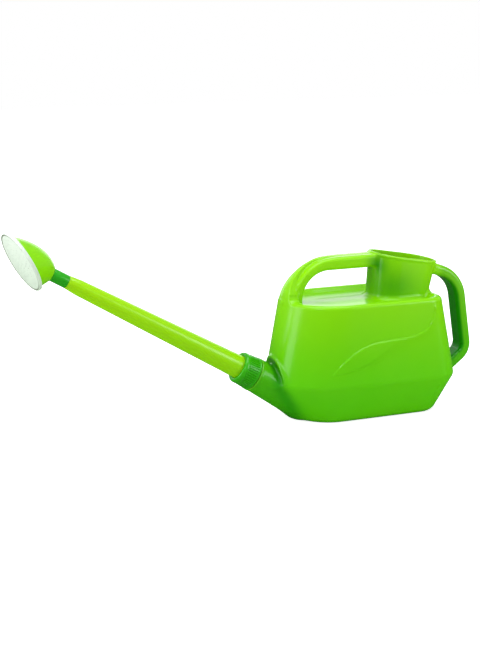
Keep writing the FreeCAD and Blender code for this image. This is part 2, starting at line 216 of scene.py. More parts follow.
def new_piece(
    name: str, verts: Array, faces: list[tuple[int, ...]], normals: Array | None = None
) -> bpy.types.Object:
    """Make a smooth-shaded mesh piece from points in metres.

    Args:
        name: The piece's name.
        verts: Points, one row each.
        faces: Corners of each face.
        normals: Exact normals at the points, if known.

    Returns:
        The linked object.
    """
    mesh = bpy.data.meshes.new(name)
    mesh.from_pydata([tuple(map(float, v)) for v in verts], [], faces)
    mesh.validate()
    mesh.shade_smooth()
    if normals is not None:
        mesh.normals_split_custom_set_from_vertices([tuple(map(float, n)) for n in normals])
    piece = bpy.data.objects.new(name, mesh)
    bpy.context.scene.collection.objects.link(piece)
    return piece


# ---------------------------------------------------------------- node groups


class Effect(Enum):
    """The shader effects that several finishes share."""

    # Random pigment clouds, plus a painted light and shade that drifts the colour with height.
    CLOUDS_AND_LIGHT = "pigment_clouds_and_painted_light"
    SKIN = "moulded_skin"
    SCUFF = "fine_scuffs"


class EffectShelf:
    """Builds each shared effect once and hands it out."""

    def __init__(self) -> None:
        """Start with an empty shelf."""
        self.groups: dict[Effect, bpy.types.NodeTree] = {}

    def get(self, effect: Effect) -> bpy.types.NodeTree:
        """Give the node group of an effect, building it the first time.

        Args:
            effect: Which effect.

        Returns:
            The group's node tree.
        """
        if effect not in self.groups:
            builders = {
                Effect.CLOUDS_AND_LIGHT: self._clouds_and_painted_light,
                Effect.SKIN: self._skin,
                Effect.SCUFF: self._scuff,
            }
            self.groups[effect] = builders[effect]()
        return self.groups[effect]

    @staticmethod
    def _tree(
        name: str, inputs: dict[str, float | Colour | None], outputs: tuple[str, ...]
    ) -> bpy.types.NodeTree:
        """Make an empty group with named sockets.

        Args:
            name: The group's name.
            inputs: Default for each input: a float, a colour, or None for a vector.
            outputs: Name of each output. A name that ends in "Shade" carries a colour, any other a float.

        Returns:
            The new node tree.
        """
        tree = bpy.data.node_groups.new(name, "ShaderNodeTree")
        for label, value in inputs.items():
            kind = "Vector" if value is None else "Color" if isinstance(value, tuple) else "Float"
            socket = tree.interface.new_socket(label, in_out="INPUT", socket_type="NodeSocket" + kind)
            if value is not None:
                socket.default_value = (*value, 1.0) if isinstance(value, tuple) else value
        for label in outputs:
            kind = "Color" if label.endswith("Shade") else "Float"
            tree.interface.new_socket(label, in_out="OUTPUT", socket_type="NodeSocket" + kind)
        return tree

    @staticmethod
    def _sum(tree: bpy.types.NodeTree, operation: str, clamped: bool = False) -> bpy.types.Node:
        """Add a node that does one sum."""
        node = tree.nodes.new("ShaderNodeMath")
        node.operation = operation
        node.use_clamp = clamped
        return node

    @staticmethod
    def _swing(tree: bpy.types.NodeTree) -> bpy.types.Node:
        """Add a node that spreads 0 to 1 over -1 to 1."""
        node = tree.nodes.new("ShaderNodeMapRange")
        set_inputs(node, {"To Min": -1.0})
        return node

    def _clouds_and_painted_light(self) -> bpy.types.NodeTree:
        """Colour that drifts between two shades with height, a painted light and shade, and in soft clouds of
        random pigment tone.
        """
        tree = self._tree(
            Effect.CLOUDS_AND_LIGHT.value,
            {
                "Place": None,
                "Low Shade": (0.1, 0.4, 0.0),
                "High Shade": (0.2, 0.6, 0.0),
                "Low Height": 0.0,
                "High Height": 0.2,
                "Cloud": 0.1,
            },
            ("Shade",),
        )
        add = tree.nodes.new
        given, out = add("NodeGroupInput"), add("NodeGroupOutput")
        split = add("ShaderNodeSeparateXYZ")
        climb = add("ShaderNodeMapRange")
        climb.interpolation_type = "SMOOTHSTEP"
        clouds = add("ShaderNodeTexNoise")
        set_inputs(clouds, {"Scale": 9.0, "Detail": 3.0})
        swing = self._swing(tree)
        weigh = self._sum(tree, "MULTIPLY")
        total = self._sum(tree, "ADD", clamped=True)
        shade = add("ShaderNodeMix")
        shade.data_type = "RGBA"
        wire(
            tree,
            (given, "Place", split, 0),
            (split, "Z", climb, "Value"),
            (given, "Low Height", climb, "From Min"),
            (given, "High Height", climb, "From Max"),
            (given, "Place", clouds, "Vector"),
            (clouds, "Fac", swing, "Value"),
            (swing, "Result", weigh, 0),
            (given, "Cloud", weigh, 1),
            (climb, "Result", total, 0),
            (weigh, 0, total, 1),
            (total, 0, shade, "Factor"),
            (given, "Low Shade", shade, 6),
            (given, "High Shade", shade, 7),
            (shade, 2, out, "Shade"),
        )
        return tree

    def _skin(self) -> bpy.types.NodeTree:
        """The faint ripple and uneven gloss that a mould leaves on plastic."""
        tree = self._tree(
            Effect.SKIN.value,
            {
                "Place": None,
                "Gloss": 0.2,
                "Unevenness": 0.06,
                "Ripple Scale": 30.0,
                "Grain Scale": 900.0,
                "Grain": 0.15,
            },
            ("Roughness", "Height"),
        )
        add = tree.nodes.new
        given, out = add("NodeGroupInput"), add("NodeGroupOutput")
        ripple = add("ShaderNodeTexNoise")
        set_inputs(ripple, {"Detail": 2.0})
        grain = add("ShaderNodeTexNoise")
        set_inputs(grain, {"Detail": 1.0})
        swing = self._swing(tree)
        uneven = self._sum(tree, "MULTIPLY_ADD")
        height = self._sum(tree, "MULTIPLY_ADD")
        wire(
            tree,
            (given, "Place", ripple, "Vector"),
            (given, "Place", grain, "Vector"),
            (given, "Ripple Scale", ripple, "Scale"),
            (given, "Grain Scale", grain, "Scale"),
            (ripple, "Fac", swing, "Value"),
            (swing, "Result", uneven, 0),
            (given, "Unevenness", uneven, 1),
            (given, "Gloss", uneven, 2),
            (grain, "Fac", height, 0),
            (given, "Grain", height, 1),
            (ripple, "Fac", height, 2),
            (uneven, 0, out, "Roughness"),
            (height, 0, out, "Height"),
        )
        return tree

    def _scuff(self) -> bpy.types.NodeTree:
        """Worn edges: where the surface bends out sharply it is paler and duller."""
        tree = self._tree(
            Effect.SCUFF.value,
            {
                "Place": None,
                "Shade": (0.1, 0.4, 0.0),
                "Worn Shade": (0.4, 0.8, 0.2),
                "Roughness": 0.2,
                "Wear": 0.4,
            },
            ("Shade", "Roughness"),
        )
        add = tree.nodes.new
        given, out = add("NodeGroupInput"), add("NodeGroupOutput")
        form = add("ShaderNodeNewGeometry")
        edge = add("ShaderNodeMapRange")
        set_inputs(edge, {"From Min": 0.515, "From Max": 0.6})
        patch = add("ShaderNodeTexNoise")
        set_inputs(patch, {"Scale": 120.0, "Detail": 4.0})
        broken = self._sum(tree, "MULTIPLY")
        amount = self._sum(tree, "MULTIPLY", clamped=True)
        shade = add("ShaderNodeMix")
        shade.data_type = "RGBA"
        dull = self._sum(tree, "MULTIPLY_ADD")
        dull.inputs[1].default_value = 0.18
        wire(
            tree,
            (form, "Pointiness", edge, "Value"),
            (given, "Place", patch, "Vector"),
            (edge, "Result", broken, 0),
            (patch, "Fac", broken, 1),
            (broken, 0, amount, 0),
            (given, "Wear", amount, 1),
            (amount, 0, shade, "Factor"),
            (given, "Shade", shade, 6),
            (given, "Worn Shade", shade, 7),
            (amount, 0, dull, 0),
            (given, "Roughness", dull, 2),
            (shade, 2, out, "Shade"),
            (dull, 0, out, "Roughness"),
        )
        return tree


SHELF = EffectShelf()


# ---------------------------------------------------------------- finishes


@dataclass(frozen=True)
class PlasticFinish:
    """A moulded plastic or rubber: two shades by height, which are painted light and shade, with gloss, grain,
    a little wear and, where a mask asks, painted shade.

    Attributes:
        name: The material's name.
        low_shade: Colour low on the piece; the drift between it and high_shade is painted light and shade.
        high_shade: Colour high on the piece.
        worn_shade: Colour where edges are rubbed.
        low_height: Height where low_shade ends, in metres.
        high_height: Height where high_shade starts, in metres.
        gloss: Mean roughness.
        unevenness: How much the roughness swings.
        glow: Share of light that travels under the surface.
        specular: Strength of plain reflections.
        cloud: Strength of the cloudy pigment.
        ripple_scale: Fineness of the mould's ripple.
        bump_depth: Depth of the ripple and grain, in metres.
        wear: Strength of the rubbed edges.
        painted_shade_colour: Colour of the painted shade, laid on where the piece's shade mask asks, or None
            where no shade is painted.
    """

    name: str
    low_shade: Colour
    high_shade: Colour
    worn_shade: Colour
    low_height: float = 0.0
    high_height: float = 0.25
    gloss: float = 0.2
    unevenness: float = 0.05
    glow: float = 0.0
    specular: float = 0.5
    cloud: float = 0.12
    ripple_scale: float = 26.0
    bump_depth: float = 0.0002
    wear: float = 0.35
    painted_shade_colour: Colour | None = None

    def make(self) -> bpy.types.Material:
        """Build the material's nodes.

        Returns:
            The finished material.
        """
        material = bpy.data.materials.new(self.name)
        material.use_nodes = True
        tree = material.node_tree
        add = tree.nodes.new
        shader = tree.nodes["Principled BSDF"]
        place = add("ShaderNodeTexCoord")
        bump = add("ShaderNodeBump")
        groups = []
        for effect in (Effect.CLOUDS_AND_LIGHT, Effect.SKIN, Effect.SCUFF):
            group = add("ShaderNodeGroup")
            group.node_tree = SHELF.get(effect)
            wire(tree, (place, "Object", group, "Place"))
            groups.append(group)
        tone_and_light, skin, scuff = groups
        set_inputs(
            tone_and_light,
            {
                "Low Shade": self.low_shade,
                "High Shade": self.high_shade,
                "Low Height": self.low_height,
                "High Height": self.high_height,
                "Cloud": self.cloud,
            },
        )
        set_inputs(skin, {"Gloss": self.gloss, "Unevenness": self.unevenness})
        set_inputs(skin, {"Ripple Scale": self.ripple_scale})
        set_inputs(scuff, {"Worn Shade": self.worn_shade, "Wear": self.wear})
        set_inputs(bump, {"Strength": 0.6, "Distance": self.bump_depth})
        if self.painted_shade_colour is None:
            wire(tree, (tone_and_light, "Shade", scuff, "Shade"))
        else:
            # Painted shade: the colour is mixed towards the shade colour as far as the mesh's shade mask says.
            shade_attribute = add("ShaderNodeAttribute")
            shade_attribute.attribute_name = SHADE_MASK
            paint_shade = add("ShaderNodeMix")
            paint_shade.data_type = "RGBA"
            paint_shade.inputs[7].default_value = (*self.painted_shade_colour, 1.0)
            wire(
                tree,
                (shade_attribute, "Fac", paint_shade, "Factor"),
                (tone_and_light, "Shade", paint_shade, 6),
                (paint_shade, 2, scuff, "Shade"),
            )
        wire(
            tree,
            (skin, "Roughness", scuff, "Roughness"),
            (skin, "Height", bump, "Height"),
            (scuff, "Shade", shader, "Base Color"),
            (scuff, "Roughness", shader, "Roughness"),
            (bump, "Normal", shader, "Normal"),
        )
        set_inputs(
            shader,
            {
                "Subsurface Weight": self.glow,
                "Subsurface Radius": (0.6, 1.0, 0.15),
                "Subsurface Scale": 0.012,
                "Specular IOR Level": self.specular,
            },
        )
        return material


# The can is painted paler higher up, a painted light on the deck and the rim, and deep green where shade is
# painted.
TANK_GREEN = PlasticFinish(
    "tank_green", linear(84, 188, 0), linear(132, 206, 0), linear(176, 230, 80),
    low_height=0.02, high_height=0.255, gloss=0.22, glow=0.12, specular=0.3, ripple_scale=14.0,
    painted_shade_colour=linear(0, 128, 0),
)
TUBE_LIME = PlasticFinish(
    "tube_lime", linear(136, 204, 0), linear(150, 212, 0), linear(200, 234, 100),
    low_height=0.08, high_height=0.25, gloss=0.2, glow=0.2, specular=0.35, ripple_scale=20.0,
)
COLLAR_GREEN = PlasticFinish(
    "collar_green", linear(34, 146, 0), linear(48, 160, 4), linear(120, 206, 70),
    low_height=0.05, high_height=0.11, specular=0.32, gloss=0.22, glow=0.05, ripple_scale=60.0,
)
CONNECTOR_GREEN = PlasticFinish(
    "connector_green", linear(22, 146, 10), linear(40, 160, 20), linear(100, 196, 70),
    low_height=0.22, high_height=0.28, specular=0.32, gloss=0.24, glow=0.05, ripple_scale=60.0,
)
ROSE_LIME = PlasticFinish(
    "rose_lime", linear(128, 210, 10), linear(126, 206, 0), linear(200, 240, 130),
    low_height=0.24, high_height=0.3, specular=0.32, gloss=0.2, glow=0.12, ripple_scale=40.0,
)
# The grey is painted shade in the groove inside the cap's border.
CAP_WHITE = PlasticFinish(
    "cap_white", linear(202, 214, 204), linear(210, 219, 212), linear(230, 236, 230),
    low_height=0.24, high_height=0.32, gloss=0.4, ripple_scale=90.0, wear=0.1, specular=0.3,
    painted_shade_colour=linear(112, 122, 104),
)
SEAL_RUBBER = PlasticFinish(
    "seal_rubber", linear(26, 26, 26), linear(34, 34, 34), linear(70, 70, 70),
    gloss=0.62, specular=0.35, ripple_scale=200.0,
)


# ---------------------------------------------------------------- the blow-moulded can


@dataclass(frozen=True)
class BodyPlan:
    """One outline of the can's body seen from above, in mm.

    Attributes:
        height: Where the outline lies.
        nose: How far it reaches towards the spout.
        tail: How far it reaches towards the rear handle.
        half_width: Half its width.
        nose_length: How long its rounded front end is.
        corner: Radius of its rear corners.
    """

    height: float
    nose: float
    tail: float
    half_width: float
    nose_length: float
    corner: float


@dataclass
class CanMoulding:
    """The one hollow moulding: body, deck, neck, both handles and the outlet.

    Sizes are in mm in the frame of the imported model. The form is worked out as a field of signed distances,
    so that every feature melts into its neighbour as it does in a blown moulding.
    """

    pitch: float = 1.7
    wall: float = 2.7
    base: BodyPlan = BodyPlan(0.0, 116.0, 115.0, 60.0, 62.0, 30.0)
    waist: BodyPlan = BodyPlan(61.0, 157.5, 145.5, 78.0, 104.0, 36.0)
    deck: BodyPlan = BodyPlan(189.0, 134.0, 117.0, 75.0, 88.0, 30.0)
    base_edge: float = 8.0
    waist_softness: float = 4.5
    deck_edge: float = 5.5
    dish_depth: float = 7.0
    ridge: float = 8.0
    ridge_slope: float = 13.0
    deck_crown: float = 1.2
    leaf_height: float = 2.1
    leaf_start: float = -88.0
    leaf_end: float = 94.0
    neck_front: float = 16.0
    neck_front_lean: float = 4.0
    neck_rear: float = 118.0
    neck_flare: float = 16.5
    neck_half: float = 38.0
    neck_corner: float = 36.5
    neck_foot: float = 9.0
    rim_height: float = 256.0
    rim_tilt: float = 10.0
    rim_x: float = 20.0
    rim_lip: float = 1.1
    grip_top: float = 253.5
    grip_bottom: float = 233.5
    grip_outer: float = 60.0
    grip_inner: float = 44.0
    grip_post: float = -105.0
    grip_half: float = 16.5
    grip_edge: float = 5.5
    tongue_root: float = 17.0
    tongue_tip: float = 3.0
    tongue_start: float = 200.0
    tongue_end: float = 247.0
    tongue_thick: float = 16.0
    tongue_inset: float = 5.5
    tongue_join: float = 190.5
    grip_sink: float = 11.0
    handle_melt: float = 5.0
    rear_half: float = 16.5
    rear_thick: float = 9.0
    rear_edge: float = 6.5
    rear_path: tuple[tuple[float, float], ...] = ((104.0, 231.0), (172.0, 206.0), (191.5, 83.0), (114.0, 25.0))
    rear_bends: tuple[float, float] = (55.0, 25.0)
    boss_root: float = 34.0
    boss_end: float = 26.0
    boss_length: float = 95.0
    boss_melt: float = 15.0
    valley_depth: float = 3.0
    lip_height: float = 2.6
    core: float = 19.6
    bore: float = 16.5
    spigot: float = 18.5
    washer: float = 2.5
    finish: PlasticFinish = TANK_GREEN
    leaf_upper: Callable[[Array], Array] = field(
        default_factory=lambda: flowing_curve(
            [
                (-88, 78), (-66, 101), (-46, 116), (-20, 126.5), (14, 130.5),
                (48, 133), (72, 139), (85, 149), (92, 168), (94, 180),
            ]
        )
    )
    leaf_lower: Callable[[Array], Array] = field(
        default_factory=lambda: flowing_curve(
            [(-88, 78), (-54, 84), (-20, 91), (15, 100), (50, 111), (100, 132)]
        )
    )

    def __post_init__(self) -> None:
        """Read the spout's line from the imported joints."""
        joint = next(j for j in frame["joints"] if j["name"] == "spout_swivel")
        self.axis = np.array(joint["axis"], float)
        self.axis /= np.linalg.norm(self.axis)
        self.taper = (self.boss_root - self.boss_end) / self.boss_length
        self.outlet = np.array(joint["pos_m"], float) / MM - self.axis * (self.spigot + self.washer)

    def between(self, low: float, middle: float, high: float, z: Array) -> Array:
        """Carry a size from base to waist to deck, softly round the waist.

        Args:
            low: The size at the base.
            middle: The size at the waist.
            high: The size at the deck.
            z: Heights.

        Returns:
            The size at each height.
        """
        rise = z - self.waist.height
        slope_under = (middle - low) / self.waist.height
        slope_over = (high - middle) / (self.deck.height - self.waist.height)
        under = middle + slope_under * rise
        over = middle + slope_over * rise
        bend = abs(slope_under - slope_over)
        return melt(under, over, max(bend * self.waist_softness, 1e-3))

    @staticmethod
    def outline(
        x: Array, y: Array, nose: Array, tail: Array, half: Array, nose_length: Array, corner: Array
    ) -> Array:
        """Signed distance to an outline with an elliptical nose and rounded rear corners.

        Args:
            x: Places along the can.
            y: Places across it.
            nose: Reach towards the spout.
            tail: Reach towards the rear.
            half: Half width.
            nose_length: Length of the rounded nose.
            corner: Radius of the rear corners.

        Returns:
            Distances, negative inside.
        """
        shoulder = nose_length - nose
        along = np.minimum(x - shoulder, 0.0)
        first = np.sqrt((along / nose_length) ** 2 + (y / half) ** 2)
        second = np.sqrt((along / nose_length**2) ** 2 + (y / half**2) ** 2)
        front = first * (first - 1.0) / np.maximum(second, 1e-9)
        rear = rounded_meet(x - tail, np.abs(y) - half, corner)
        return np.where(x < shoulder, front, rear)

    def body(self, x: Array, y: Array, z: Array) -> Array:
        """Signed distance to the body, with its dished deck and the leaf on its sides."""
        low, middle, high = self.base, self.waist, self.deck
        names = ("nose", "tail", "half_width", "nose_length", "corner")
        sizes = [self.between(*(getattr(plan, name) for plan in (low, middle, high)), z) for name in names]
        side = self.outline(x, y, *sizes)
        rise = self.leaf_height * (0.3 + 0.7 * ease((z - 80.0) / 35.0))
        side = side - rise * self.leaf(x, z) * ease((np.abs(y) - 45.0) / 15.0)
        deck_in = -self.outline(x, y, high.nose, high.tail, high.half_width, high.nose_length, high.corner)
        top = high.height - self.dish_depth * ease((deck_in - self.ridge) / self.ridge_slope)
        crown = self.deck_crown * ease((deck_in - 45.0) / 25.0)
        body = rounded_meet(side, z - top - crown, self.deck_edge)
        return rounded_meet(body, -z, self.base_edge)

    def leaf(self, x: Array, z: Array) -> Array:
        """How far the leaf on the sides is raised, from 0 to 1."""
        inside = np.clip(x, self.leaf_start, self.leaf_end)
        upper, lower = self.leaf_upper(inside), self.leaf_lower(inside)
        lean = np.abs(self.leaf_upper(inside + 1.0) - self.leaf_upper(inside - 1.0)) / 2.0
        below = (upper - z) / np.sqrt(1.0 + lean**2)
        above = z - lower
        fade = 3.0 + 30.0 * ease((x + 50.0) / 110.0)
        rise = ease(below / 2.4) * ease(above / fade)
        return rise * ease((x - self.leaf_start) / 12.0) * ease((101.0 - x) / 14.0)

    def neck_outline(self, x: Array, y: Array, z: Array) -> Array:
        """Signed distance to the neck's upright walls."""
        rise = (z - self.deck.height) / (self.rim_height - self.deck.height)
        front = self.neck_front + self.neck_front_lean * rise
        rear = self.neck_rear + self.neck_flare * rise
        middle, half = (front + rear) / 2.0, (rear - front) / 2.0
        return rounded_meet(np.abs(x - middle) - half, slab(y, self.neck_half), self.neck_corner)

    def neck(self, x: Array, y: Array, z: Array) -> Array:
        """Signed distance to the neck, cut off by its sloping rim with a small lip."""
        tilt = math.radians(self.rim_tilt)
        above = (x - self.rim_x) * math.sin(tilt) + (z - self.rim_height) * math.cos(tilt)
        lip = self.rim_lip * np.exp(-(((above + 2.4) / 1.9) ** 2))
        walls = self.neck_outline(x, y, z) - lip
        return np.maximum(rounded_meet(walls, above, 1.0), self.deck.height - 14.0 - z)

    def front_wall(self, z: Array) -> Array:
        """Where the front wall stands at each height."""
        lean = (self.waist.nose - self.deck.nose) / (self.deck.height - self.waist.height)
        return -self.deck.nose + lean * (z - self.deck.height)

    def top_handle(self, x: Array, y: Array, z: Array) -> Array:
        """Signed distance to the top handle.

        The nose runs on upwards as a tongue that narrows to a point on top of the bend. The grip lies sunk
        behind the tongue at its foot and comes level with it at the point.
        """
        low, high = self.waist, self.deck
        climb = (z - high.height) / (high.height - low.height)
        nose = high.nose + (high.nose - low.nose) * climb
        half = high.half_width + (high.half_width - low.half_width) * climb
        skin = self.outline(x, y, nose, high.tail, half, high.nose_length, high.corner)
        skin = skin + self.tongue_inset * ease((self.tongue_join - z) / 12.0)
        skin = rounded_meet(skin, z - self.grip_top, self.grip_outer)
        up = np.clip((z - self.tongue_start) / (self.tongue_end - self.tongue_start), 0.0, 1.0)
        width = self.tongue_tip + (self.tongue_root - self.tongue_tip) * (1.0 - up) ** 1.3
        width = width + 6.0 * np.clip((self.tongue_start - z) / 12.0, 0.0, 1.6) ** 2
        tongue = rounded_meet(np.maximum(skin, -skin - self.tongue_thick), slab(y, width), 1.8)

        ahead = (self.front_wall(z) - x) * 0.983
        outer = rounded_meet(ahead, z - self.grip_top, self.grip_outer)
        along = np.clip((x + 122.0) / 87.0, 0.0, 1.0)
        spine = outer + self.grip_sink * (1.0 - along) ** 1.7
        gap = rounded_meet(self.grip_post - x, z - self.grip_bottom, self.grip_inner)
        grip = rounded_meet(np.maximum(spine, -gap), slab(y, self.grip_half), self.grip_edge)
        both = melt(grip, tongue, 2.6)
        both = np.maximum(both, x - self.rim_x - self.wall)
        return np.maximum(both, high.height - 30.0 - z)

    def rear_handle(self, x: Array, y: Array, z: Array) -> Array:
        """Signed distance to the rear handle, swept round its two bends."""
        points = [np.array(p) for p in self.rear_path]
        path = np.full(np.broadcast(x, z).shape, 1e9)
        last = points[0]
        for before, corner, after, radius in zip(points, points[1:], points[2:], self.rear_bends):
            towards = (before - corner) / np.linalg.norm(before - corner)
            away = (after - corner) / np.linalg.norm(after - corner)
            half = math.acos(float(np.dot(towards, away))) / 2.0
            reach = radius / math.tan(half)
            middle = (towards + away) / np.linalg.norm(towards + away)
            centre = corner + middle * radius / math.sin(half)
            first, final = corner + towards * reach, corner + away * reach
            path = np.minimum(path, self._line(x, z, last, first))
            path = np.minimum(path, self._arc(x, z, centre, radius, -middle, math.pi / 2.0 - half))
            last = final
        path = np.minimum(path, self._line(x, z, last, points[-1]))
        return rounded_meet(path - self.rear_thick, slab(y, self.rear_half), self.rear_edge)

    @staticmethod
    def _line(x: Array, z: Array, start: Array, end: Array) -> Array:
        """Distance in the middle plane to a straight run."""
        run = end - start
        share = np.clip(((x - start[0]) * run[0] + (z - start[1]) * run[1]) / float(np.dot(run, run)), 0.0, 1.0)
        return np.hypot(x - start[0] - share * run[0], z - start[1] - share * run[1])

    @staticmethod
    def _arc(x: Array, z: Array, centre: Array, radius: float, aim: Array, spread: float) -> Array:
        """Distance in the middle plane to an arc that spreads either side of its aim."""
        dx, dz = x - centre[0], z - centre[1]
        length = np.hypot(dx, dz)
        facing = (dx * aim[0] + dz * aim[1]) / np.maximum(length, 1e-9)
        return np.where(facing > math.cos(spread), np.abs(length - radius), 1e9)

    def along_spout(self, x: Array, y: Array, z: Array) -> tuple[Array, Array]:
        """Distance along the spout's line from the outlet's shoulder, and away from that line."""
        dx, dz = x - self.outlet[0], z - self.outlet[2]
        along = dx * self.axis[0] + dz * self.axis[2]
        off_x, off_z = dx - along * self.axis[0], dz - along * self.axis[2]
        aside = np.sqrt(off_x**2 + y**2 + off_z**2)
        return along, aside

    def boss(self, x: Array, y: Array, z: Array) -> Array:
        """Signed distance to the outlet's cone and the plain core that its thread stands on."""
        along, aside = self.along_spout(x, y, z)
        bead = 0.9 * np.exp(-(((along + 2.2) / 1.5) ** 2))
        cone = rounded_meet(aside - self.boss_end + self.taper * along - bead, along, 1.0)
        cone = np.maximum(cone, -self.boss_length - along)
        core = np.maximum(aside - self.core, along - self.spigot + 0.4)
        return np.minimum(cone, np.maximum(core, -20.0 - along))

    def join_boss(self, can: Array, x: Array, y: Array, z: Array) -> Array:
        """Join the outlet's cone to the can, with the scooped valley and raised lip over its top.

        Args:
            can: Signed distance to the rest of the can.
            x: Places along the can.
            y: Places across it.
            z: Heights.

        Returns:
            Signed distance to both together.
        """
        boss = self.boss(x, y, z)
        over = self.over_spout(x, y, z)
        joined = melt(can, boss, self.boss_melt * (1.0 - 0.75 * over))
        lip = self.lip_height * soft_spot(can, boss, (0.0, 9.0), (4.5, 3.4))
        return joined + self.valley(x, y, z) - lip * over

    def over_spout(self, x: Array, y: Array, z: Array) -> Array:
        """How far a place is over the spout's line, from 0 beside it to 1 above it."""
        along, _ = self.along_spout(x, y, z)
        return ease((z - self.outlet[2] - along * self.axis[2] + 4.0) / 22.0)

    def valley(self, x: Array, y: Array, z: Array) -> Array:
        """Depth of the scooped valley where the top of the cone leaves the nose."""
        scoop = soft_spot(self.body(x, y, z), self.boss(x, y, z), (0.0, 1.0), (5.0, 5.0))
        return self.valley_depth * scoop * self.over_spout(x, y, z)

    def hollow(self, x: Array, y: Array, z: Array) -> Array:
        """Signed distance to the room inside: body, neck and the way out to the spout."""
        sink = self.valley(x, y, z)
        room = self.body(x, y, z) + self.wall + sink
        neck = np.maximum(self.neck_outline(x, y, z) + self.wall, self.deck.height - 20.0 - z)
        along, aside = self.along_spout(x, y, z)
        cone = np.maximum(aside - self.boss_end + self.taper * along + self.wall + sink, -80.0 - along)
        cone = np.maximum(cone, along + self.wall)
        bore = np.maximum(aside - self.bore, -20.0 - along)
        return np.minimum(np.minimum(room, neck), np.minimum(cone, bore))

    def form(self, x: Array, y: Array, z: Array) -> Array:
        """Signed distance to the whole moulding.

        Args:
            x: Places along the can.
            y: Places across it.
            z: Heights.

        Returns:
            Distances, negative in the plastic.
        """
        solid = melt(self.body(x, y, z), self.neck(x, y, z), self.neck_foot)
        solid = melt(solid, self.top_handle(x, y, z), self.handle_melt)
        solid = melt(solid, self.rear_handle(x, y, z), self.handle_melt)
        solid = self.join_boss(solid, x, y, z)
        solid = np.maximum(solid, -z)
        return rounded_meet(solid, -self.hollow(x, y, z), 0.7)

    def slope(self, points: Array) -> Array:
        """The form's gradient at points, by small steps either side."""
        step = 0.05
        rows = []
        for axis in range(3):
            offset = np.zeros(3)
            offset[axis] = step
            ahead, behind = points + offset, points - offset
            rows.append((self.form(*ahead.T) - self.form(*behind.T)) / (2.0 * step))
        return np.stack(rows, 1)

    def build(self) -> bpy.types.Object:
        """Mesh the moulding and ride it on the tank.

        Returns:
            The piece that stands for the tank's nodes.
        """
        nodes = ("tank_body", "filler_neck", "top_handle", "rear_handle", "outlet_boss")
        boxes = [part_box(node) for node in nodes]
        low = np.min([tuple(box[0]) for box in boxes], 0) / MM - 3.0 * self.pitch
        high = np.max([tuple(box[1]) for box in boxes], 0) / MM + 3.0 * self.pitch
        half = int(math.ceil(high[1] / self.pitch))
        xs = np.arange(low[0], high[0], self.pitch)
        ys = np.arange(0, half + 1) * self.pitch
        zs = np.arange(low[2], high[2], self.pitch)
        near = self.form(xs[:, None, None], ys[None, :, None], zs[None, None, :]).astype(np.float32)
        full = np.concatenate([near[:, :0:-1, :], near], 1)
        grid = openvdb.FloatGrid(float(self.pitch * 3.0))
        grid.copyFromArray(np.clip(full / self.pitch, -3.0, 3.0))
        points, quads = grid.convertToQuads(isovalue=0.0)
        verts = points.astype(float) * self.pitch + np.array([xs[0], -half * self.pitch, zs[0]])
        for _ in range(3):
            gradient = self.slope(verts)
            size = np.maximum((gradient**2).sum(1), 0.05)
            move = -self.form(*verts.T)[:, None] * gradient / size[:, None]
            verts += np.clip(move, -0.5 * self.pitch, 0.5 * self.pitch)
        gradient = self.slope(verts)
        normals = gradient / np.maximum(np.linalg.norm(gradient, axis=1, keepdims=True), 1e-6)
        faces = self._outward(verts, quads, normals)
        piece = new_piece("can_moulding", verts * MM, faces, normals)
        # The painted shade mask, which the finish reads to darken the colour where shade falls.
        shade_layer = piece.data.attributes.new(SHADE_MASK, "FLOAT", "POINT")
        shade_layer.data.foreach_set("value", self.painted_shade(verts, normals))
        piece.data.materials.append(self.finish.make())
        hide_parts(*nodes)
        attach(piece, "tank")
        return piece

    def painted_shade(self, verts: Array, normals: Array) -> Array:
        """Painted shade at each point, from 0 to 1, which darkens its colour where shade falls.

        Args:
            verts: Points in mm.
            normals: Normals at the points.

        Returns:
            One value for each point.
        """
        x, y, z = verts.T
        # Painted shade on the neck's front face, darkest low in its middle.
        neck = 0.85 * soft_spot(x, z, (40.0, 204.0), (42.0, 36.0)) * ease((z - 184.0) / 8.0)
        neck = neck * ease(1.0 - (self.neck(x, y, z) + self.wall) / 8.0)
        # Painted shadow in the pocket where the grip's end meets the neck.
        pocket = 0.9 * soft_spot(x, z, (18.0, 238.0), (13.0, 16.0)) * ease((np.abs(y) - 12.0) / 6.0)
        # Painted shade on the rear handle, darker on the faces that look towards the can.
        handle = ease(1.0 - (self.rear_handle(x, y, z) - 0.5) / 5.0) * ease((x - 128.0) / 16.0)
        rear = handle * (0.42 + 0.55 * ease(-normals[:, 0] * 1.4))
        # Painted shade on the outlet's cone near the can, deepest in the scooped valley over its root.
        boss = self.boss(x, y, z)
        can = self.body(x, y, z)
        outlet = 0.5 * ease(1.0 - (boss - 1.0) / 12.0) * ease((can + 1.0) / 8.0)
        valley = 0.85 * soft_spot(can, boss, (0.0, 0.0), (9.0, 9.0))
        total = 1.0 - (1.0 - neck) * (1.0 - pocket) * (1.0 - rear) * (1.0 - outlet) * (1.0 - valley)
        return np.clip(total, 0.0, 1.0).astype(np.float32)

    @staticmethod
    def _outward(verts: Array, quads: Array, normals: Array) -> list[tuple[int, ...]]:
        """Turn faces so that they look the way of the normals.

        Args:
            verts: Points.
            quads: Four corners each.
            normals: Normals at the points.

        Returns:
            The faces as tuples.
        """
        corner = verts[quads]
        facing = np.cross(corner[:, 2] - corner[:, 0], corner[:, 3] - corner[:, 1])
        wrong = (facing * normals[quads].mean(1)).sum(1) < 0.0
        quads = np.where(wrong[:, None], quads[:, ::-1], quads)
        return [tuple(map(int, q)) for q in quads]


# ---------------------------------------------------------------- pieces turned about the spout's line


